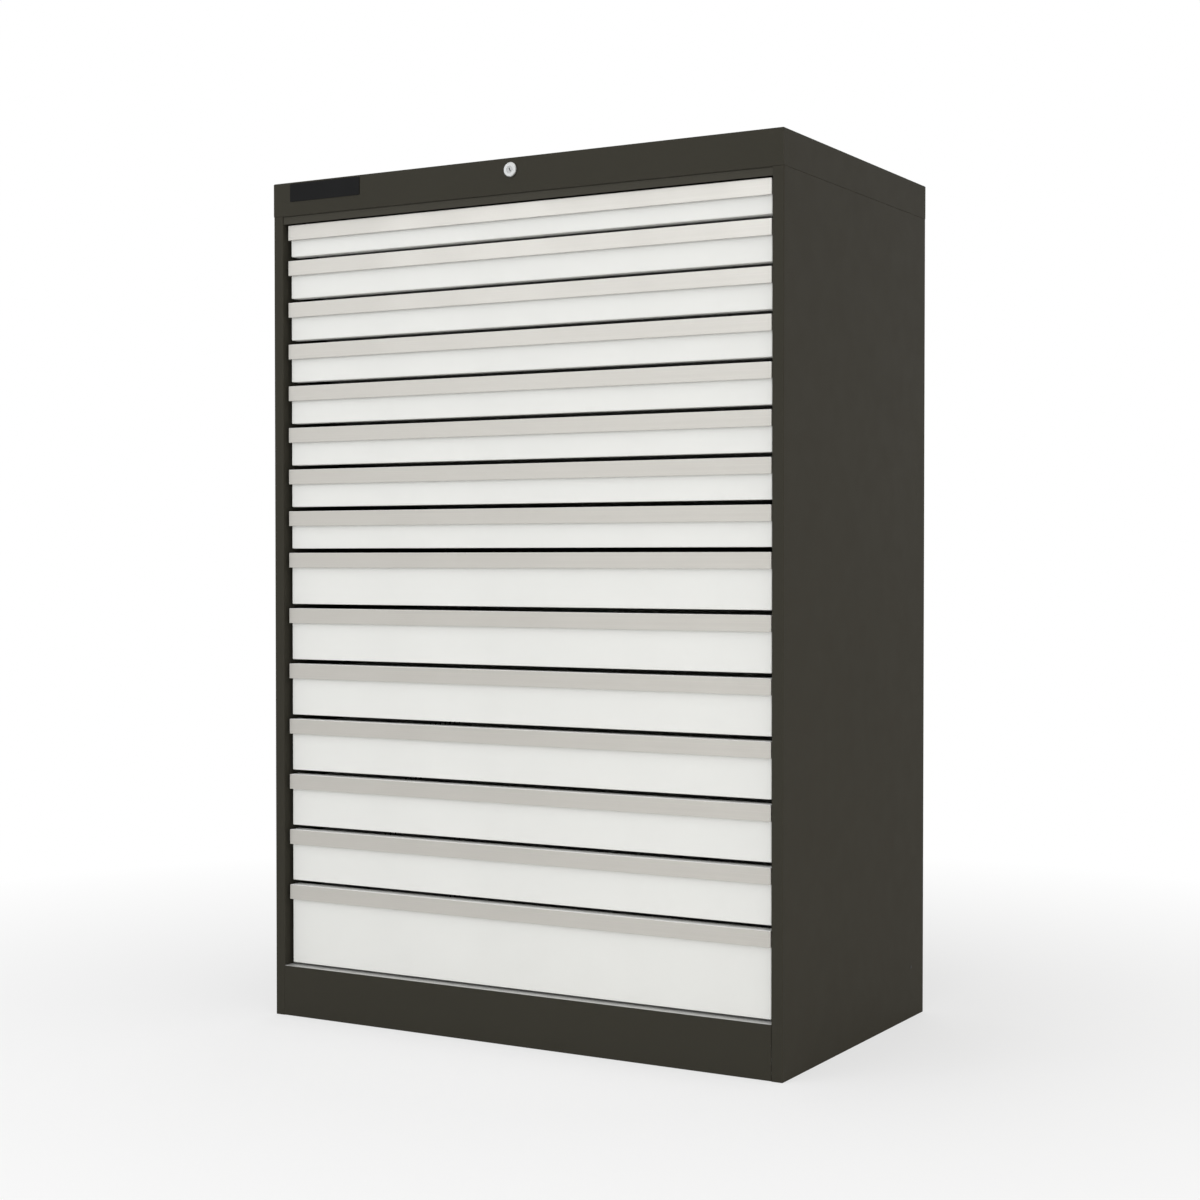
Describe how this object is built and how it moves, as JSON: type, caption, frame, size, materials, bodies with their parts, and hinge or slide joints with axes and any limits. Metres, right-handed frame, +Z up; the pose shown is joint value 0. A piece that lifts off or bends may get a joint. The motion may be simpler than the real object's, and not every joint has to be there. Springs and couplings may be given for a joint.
{
  "type": "drawer cabinet",
  "caption": "Tall industrial drawer cabinet: dark steel housing on a plinth, off-white drawers on telescopic runners, full-width aluminium pulls and a central key lock.",
  "frame": {"origin": "on the floor under the centre of the cabinet", "axes": "+X to the right seen from the front, -Y out of the drawer fronts, +Z up"},
  "size_m": [1.01, 0.6085, 1.5],
  "materials": {
    "housing_paint": "satin powder coat, dark warm grey",
    "drawer_paint": "satin powder coat, off-white grey",
    "handle_metal": "satin anodised extrusion",
    "runner_steel": "zinc-plated steel",
    "lock_steel": "zinc-plated steel",
    "lock_chrome": "satin chrome"
  },
  "bodies": {
    "housing": {"left_side_panel": "housing_paint", "right_side_panel": "housing_paint", "back_panel": "housing_paint", "top_cap": "housing_paint", "header": "housing_paint", "base_plinth": "housing_paint", "base_rails": "housing_paint", "bottom_pan": "housing_paint", "uprights": "housing_paint", "cabinet_rails": "runner_steel", "lock_barrel": "lock_chrome", "lock_brackets": "lock_steel"},
    "drawer_01_body": {"drawer_01": "drawer_paint", "drawer_01_handle": "handle_metal"},
    "drawer_01_middle_body": {"drawer_01_middle_rails": "runner_steel"},
    "drawer_02_body": {"drawer_02": "drawer_paint", "drawer_02_handle": "handle_metal"},
    "drawer_02_middle_body": {"drawer_02_middle_rails": "runner_steel"},
    "drawer_03_body": {"drawer_03": "drawer_paint", "drawer_03_handle": "handle_metal"},
    "drawer_03_middle_body": {"drawer_03_middle_rails": "runner_steel"},
    "drawer_04_body": {"drawer_04": "drawer_paint", "drawer_04_handle": "handle_metal"},
    "drawer_04_middle_body": {"drawer_04_middle_rails": "runner_steel"},
    "drawer_05_body": {"drawer_05": "drawer_paint", "drawer_05_handle": "handle_metal"},
    "drawer_05_middle_body": {"drawer_05_middle_rails": "runner_steel"},
    "drawer_06_body": {"drawer_06": "drawer_paint", "drawer_06_handle": "handle_metal"},
    "drawer_06_middle_body": {"drawer_06_middle_rails": "runner_steel"},
    "drawer_07_body": {"drawer_07": "drawer_paint", "drawer_07_handle": "handle_metal"},
    "drawer_07_middle_body": {"drawer_07_middle_rails": "runner_steel"},
    "drawer_08_body": {"drawer_08": "drawer_paint", "drawer_08_handle": "handle_metal"},
    "drawer_08_middle_body": {"drawer_08_middle_rails": "runner_steel"},
    "drawer_09_body": {"drawer_09": "drawer_paint", "drawer_09_handle": "handle_metal"},
    "drawer_09_middle_body": {"drawer_09_middle_rails": "runner_steel"},
    "drawer_10_body": {"drawer_10": "drawer_paint", "drawer_10_handle": "handle_metal"},
    "drawer_10_middle_body": {"drawer_10_middle_rails": "runner_steel"},
    "drawer_11_body": {"drawer_11": "drawer_paint", "drawer_11_handle": "handle_metal"},
    "drawer_11_middle_body": {"drawer_11_middle_rails": "runner_steel"},
    "drawer_12_body": {"drawer_12": "drawer_paint", "drawer_12_handle": "handle_metal"},
    "drawer_12_middle_body": {"drawer_12_middle_rails": "runner_steel"},
    "drawer_13_body": {"drawer_13": "drawer_paint", "drawer_13_handle": "handle_metal"},
    "drawer_13_middle_body": {"drawer_13_middle_rails": "runner_steel"},
    "drawer_14_body": {"drawer_14": "drawer_paint", "drawer_14_handle": "handle_metal"},
    "drawer_14_middle_body": {"drawer_14_middle_rails": "runner_steel"},
    "drawer_15_body": {"drawer_15": "drawer_paint", "drawer_15_handle": "handle_metal"},
    "drawer_15_middle_body": {"drawer_15_middle_rails": "runner_steel"},
    "lock_rotor": {"lock_plug": "lock_chrome", "lock_shaft": "lock_steel"},
    "lock_bar_body": {"lock_bar": "lock_steel"}
  },
  "joints": [
    {"name": "drawer_01_slide", "type": "slide", "parent": "housing", "child": "drawer_01_body", "axis": [0, -1, 0], "range_m": [0, 0.54]},
    {"name": "drawer_01_middle_slide", "type": "slide", "parent": "housing", "child": "drawer_01_middle_body", "axis": [0, -1, 0], "range_m": [0, 0.27]},
    {"name": "drawer_02_slide", "type": "slide", "parent": "housing", "child": "drawer_02_body", "axis": [0, -1, 0], "range_m": [0, 0.54]},
    {"name": "drawer_02_middle_slide", "type": "slide", "parent": "housing", "child": "drawer_02_middle_body", "axis": [0, -1, 0], "range_m": [0, 0.27]},
    {"name": "drawer_03_slide", "type": "slide", "parent": "housing", "child": "drawer_03_body", "axis": [0, -1, 0], "range_m": [0, 0.54]},
    {"name": "drawer_03_middle_slide", "type": "slide", "parent": "housing", "child": "drawer_03_middle_body", "axis": [0, -1, 0], "range_m": [0, 0.27]},
    {"name": "drawer_04_slide", "type": "slide", "parent": "housing", "child": "drawer_04_body", "axis": [0, -1, 0], "range_m": [0, 0.54]},
    {"name": "drawer_04_middle_slide", "type": "slide", "parent": "housing", "child": "drawer_04_middle_body", "axis": [0, -1, 0], "range_m": [0, 0.27]},
    {"name": "drawer_05_slide", "type": "slide", "parent": "housing", "child": "drawer_05_body", "axis": [0, -1, 0], "range_m": [0, 0.54]},
    {"name": "drawer_05_middle_slide", "type": "slide", "parent": "housing", "child": "drawer_05_middle_body", "axis": [0, -1, 0], "range_m": [0, 0.27]},
    {"name": "drawer_06_slide", "type": "slide", "parent": "housing", "child": "drawer_06_body", "axis": [0, -1, 0], "range_m": [0, 0.54]},
    {"name": "drawer_06_middle_slide", "type": "slide", "parent": "housing", "child": "drawer_06_middle_body", "axis": [0, -1, 0], "range_m": [0, 0.27]},
    {"name": "drawer_07_slide", "type": "slide", "parent": "housing", "child": "drawer_07_body", "axis": [0, -1, 0], "range_m": [0, 0.54]},
    {"name": "drawer_07_middle_slide", "type": "slide", "parent": "housing", "child": "drawer_07_middle_body", "axis": [0, -1, 0], "range_m": [0, 0.27]},
    {"name": "drawer_08_slide", "type": "slide", "parent": "housing", "child": "drawer_08_body", "axis": [0, -1, 0], "range_m": [0, 0.54]},
    {"name": "drawer_08_middle_slide", "type": "slide", "parent": "housing", "child": "drawer_08_middle_body", "axis": [0, -1, 0], "range_m": [0, 0.27]},
    {"name": "drawer_09_slide", "type": "slide", "parent": "housing", "child": "drawer_09_body", "axis": [0, -1, 0], "range_m": [0, 0.54]},
    {"name": "drawer_09_middle_slide", "type": "slide", "parent": "housing", "child": "drawer_09_middle_body", "axis": [0, -1, 0], "range_m": [0, 0.27]},
    {"name": "drawer_10_slide", "type": "slide", "parent": "housing", "child": "drawer_10_body", "axis": [0, -1, 0], "range_m": [0, 0.54]},
    {"name": "drawer_10_middle_slide", "type": "slide", "parent": "housing", "child": "drawer_10_middle_body", "axis": [0, -1, 0], "range_m": [0, 0.27]},
    {"name": "drawer_11_slide", "type": "slide", "parent": "housing", "child": "drawer_11_body", "axis": [0, -1, 0], "range_m": [0, 0.54]},
    {"name": "drawer_11_middle_slide", "type": "slide", "parent": "housing", "child": "drawer_11_middle_body", "axis": [0, -1, 0], "range_m": [0, 0.27]},
    {"name": "drawer_12_slide", "type": "slide", "parent": "housing", "child": "drawer_12_body", "axis": [0, -1, 0], "range_m": [0, 0.54]},
    {"name": "drawer_12_middle_slide", "type": "slide", "parent": "housing", "child": "drawer_12_middle_body", "axis": [0, -1, 0], "range_m": [0, 0.27]},
    {"name": "drawer_13_slide", "type": "slide", "parent": "housing", "child": "drawer_13_body", "axis": [0, -1, 0], "range_m": [0, 0.54]},
    {"name": "drawer_13_middle_slide", "type": "slide", "parent": "housing", "child": "drawer_13_middle_body", "axis": [0, -1, 0], "range_m": [0, 0.27]},
    {"name": "drawer_14_slide", "type": "slide", "parent": "housing", "child": "drawer_14_body", "axis": [0, -1, 0], "range_m": [0, 0.54]},
    {"name": "drawer_14_middle_slide", "type": "slide", "parent": "housing", "child": "drawer_14_middle_body", "axis": [0, -1, 0], "range_m": [0, 0.27]},
    {"name": "drawer_15_slide", "type": "slide", "parent": "housing", "child": "drawer_15_body", "axis": [0, -1, 0], "range_m": [0, 0.54]},
    {"name": "drawer_15_middle_slide", "type": "slide", "parent": "housing", "child": "drawer_15_middle_body", "axis": [0, -1, 0], "range_m": [0, 0.27]},
    {"name": "lock_turn", "type": "hinge", "parent": "housing", "child": "lock_rotor", "pos_m": [0, -0.3025, 1.4795], "axis": [0, 1, 0], "range_deg": [0, 90]},
    {"name": "lock_bar_lift", "type": "slide", "parent": "housing", "child": "lock_bar_body", "axis": [0, 0, 1], "range_m": [0, 0.01]}
  ],
  "couplings": [
    {"joint": "drawer_01_middle_slide", "follows": "drawer_01_slide", "ratio": 0.5},
    {"joint": "drawer_02_middle_slide", "follows": "drawer_02_slide", "ratio": 0.5},
    {"joint": "drawer_03_middle_slide", "follows": "drawer_03_slide", "ratio": 0.5},
    {"joint": "drawer_04_middle_slide", "follows": "drawer_04_slide", "ratio": 0.5},
    {"joint": "drawer_05_middle_slide", "follows": "drawer_05_slide", "ratio": 0.5},
    {"joint": "drawer_06_middle_slide", "follows": "drawer_06_slide", "ratio": 0.5},
    {"joint": "drawer_07_middle_slide", "follows": "drawer_07_slide", "ratio": 0.5},
    {"joint": "drawer_08_middle_slide", "follows": "drawer_08_slide", "ratio": 0.5},
    {"joint": "drawer_09_middle_slide", "follows": "drawer_09_slide", "ratio": 0.5},
    {"joint": "drawer_10_middle_slide", "follows": "drawer_10_slide", "ratio": 0.5},
    {"joint": "drawer_11_middle_slide", "follows": "drawer_11_slide", "ratio": 0.5},
    {"joint": "drawer_12_middle_slide", "follows": "drawer_12_slide", "ratio": 0.5},
    {"joint": "drawer_13_middle_slide", "follows": "drawer_13_slide", "ratio": 0.5},
    {"joint": "drawer_14_middle_slide", "follows": "drawer_14_slide", "ratio": 0.5},
    {"joint": "drawer_15_middle_slide", "follows": "drawer_15_slide", "ratio": 0.5},
    {"joint": "lock_turn", "follows": "lock_bar_lift", "rad_per_m": 157.08}
  ]
}
